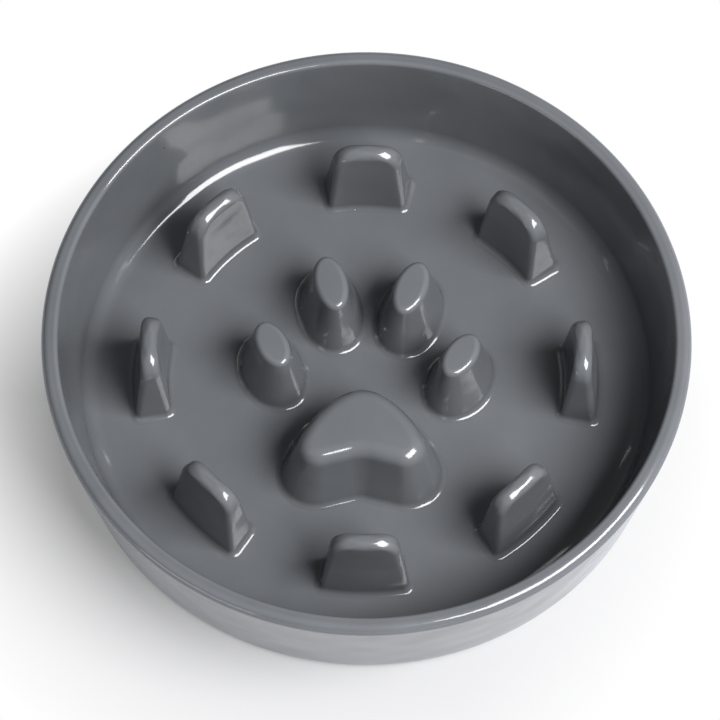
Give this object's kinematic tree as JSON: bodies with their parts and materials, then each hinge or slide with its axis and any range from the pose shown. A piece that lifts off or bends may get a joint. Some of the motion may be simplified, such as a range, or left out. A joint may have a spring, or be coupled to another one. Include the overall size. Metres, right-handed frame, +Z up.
{
  "type": "slow feeder bowl",
  "caption": "Round shallow glazed ceramic pet bowl with a ring of upright fins around a raised paw print on its floor; food lies in the channels and is eaten slowly.",
  "frame": {"origin": "middle of the foot, on the table", "axes": "+Z up through the middle of the bowl, +X to the bowl's right, and +Y to its back, the side that the toes of the paw print point to"},
  "size_m": [0.2, 0.2, 0.045],
  "materials": {
    "glaze": "gloss",
    "bare_clay": "matte"
  },
  "bodies": {
    "root": {"bowl_shell": "glaze", "foot_ring": "bare_clay", "fin_back": "glaze", "fin_back_left": "glaze", "fin_left": "glaze", "fin_front_left": "glaze", "fin_front": "glaze", "fin_front_right": "glaze", "fin_right": "glaze", "fin_back_right": "glaze", "toe_outer_left": "glaze", "toe_inner_left": "glaze", "toe_inner_right": "glaze", "toe_outer_right": "glaze", "paw_main_pad": "glaze"}
  },
  "joints": []
}
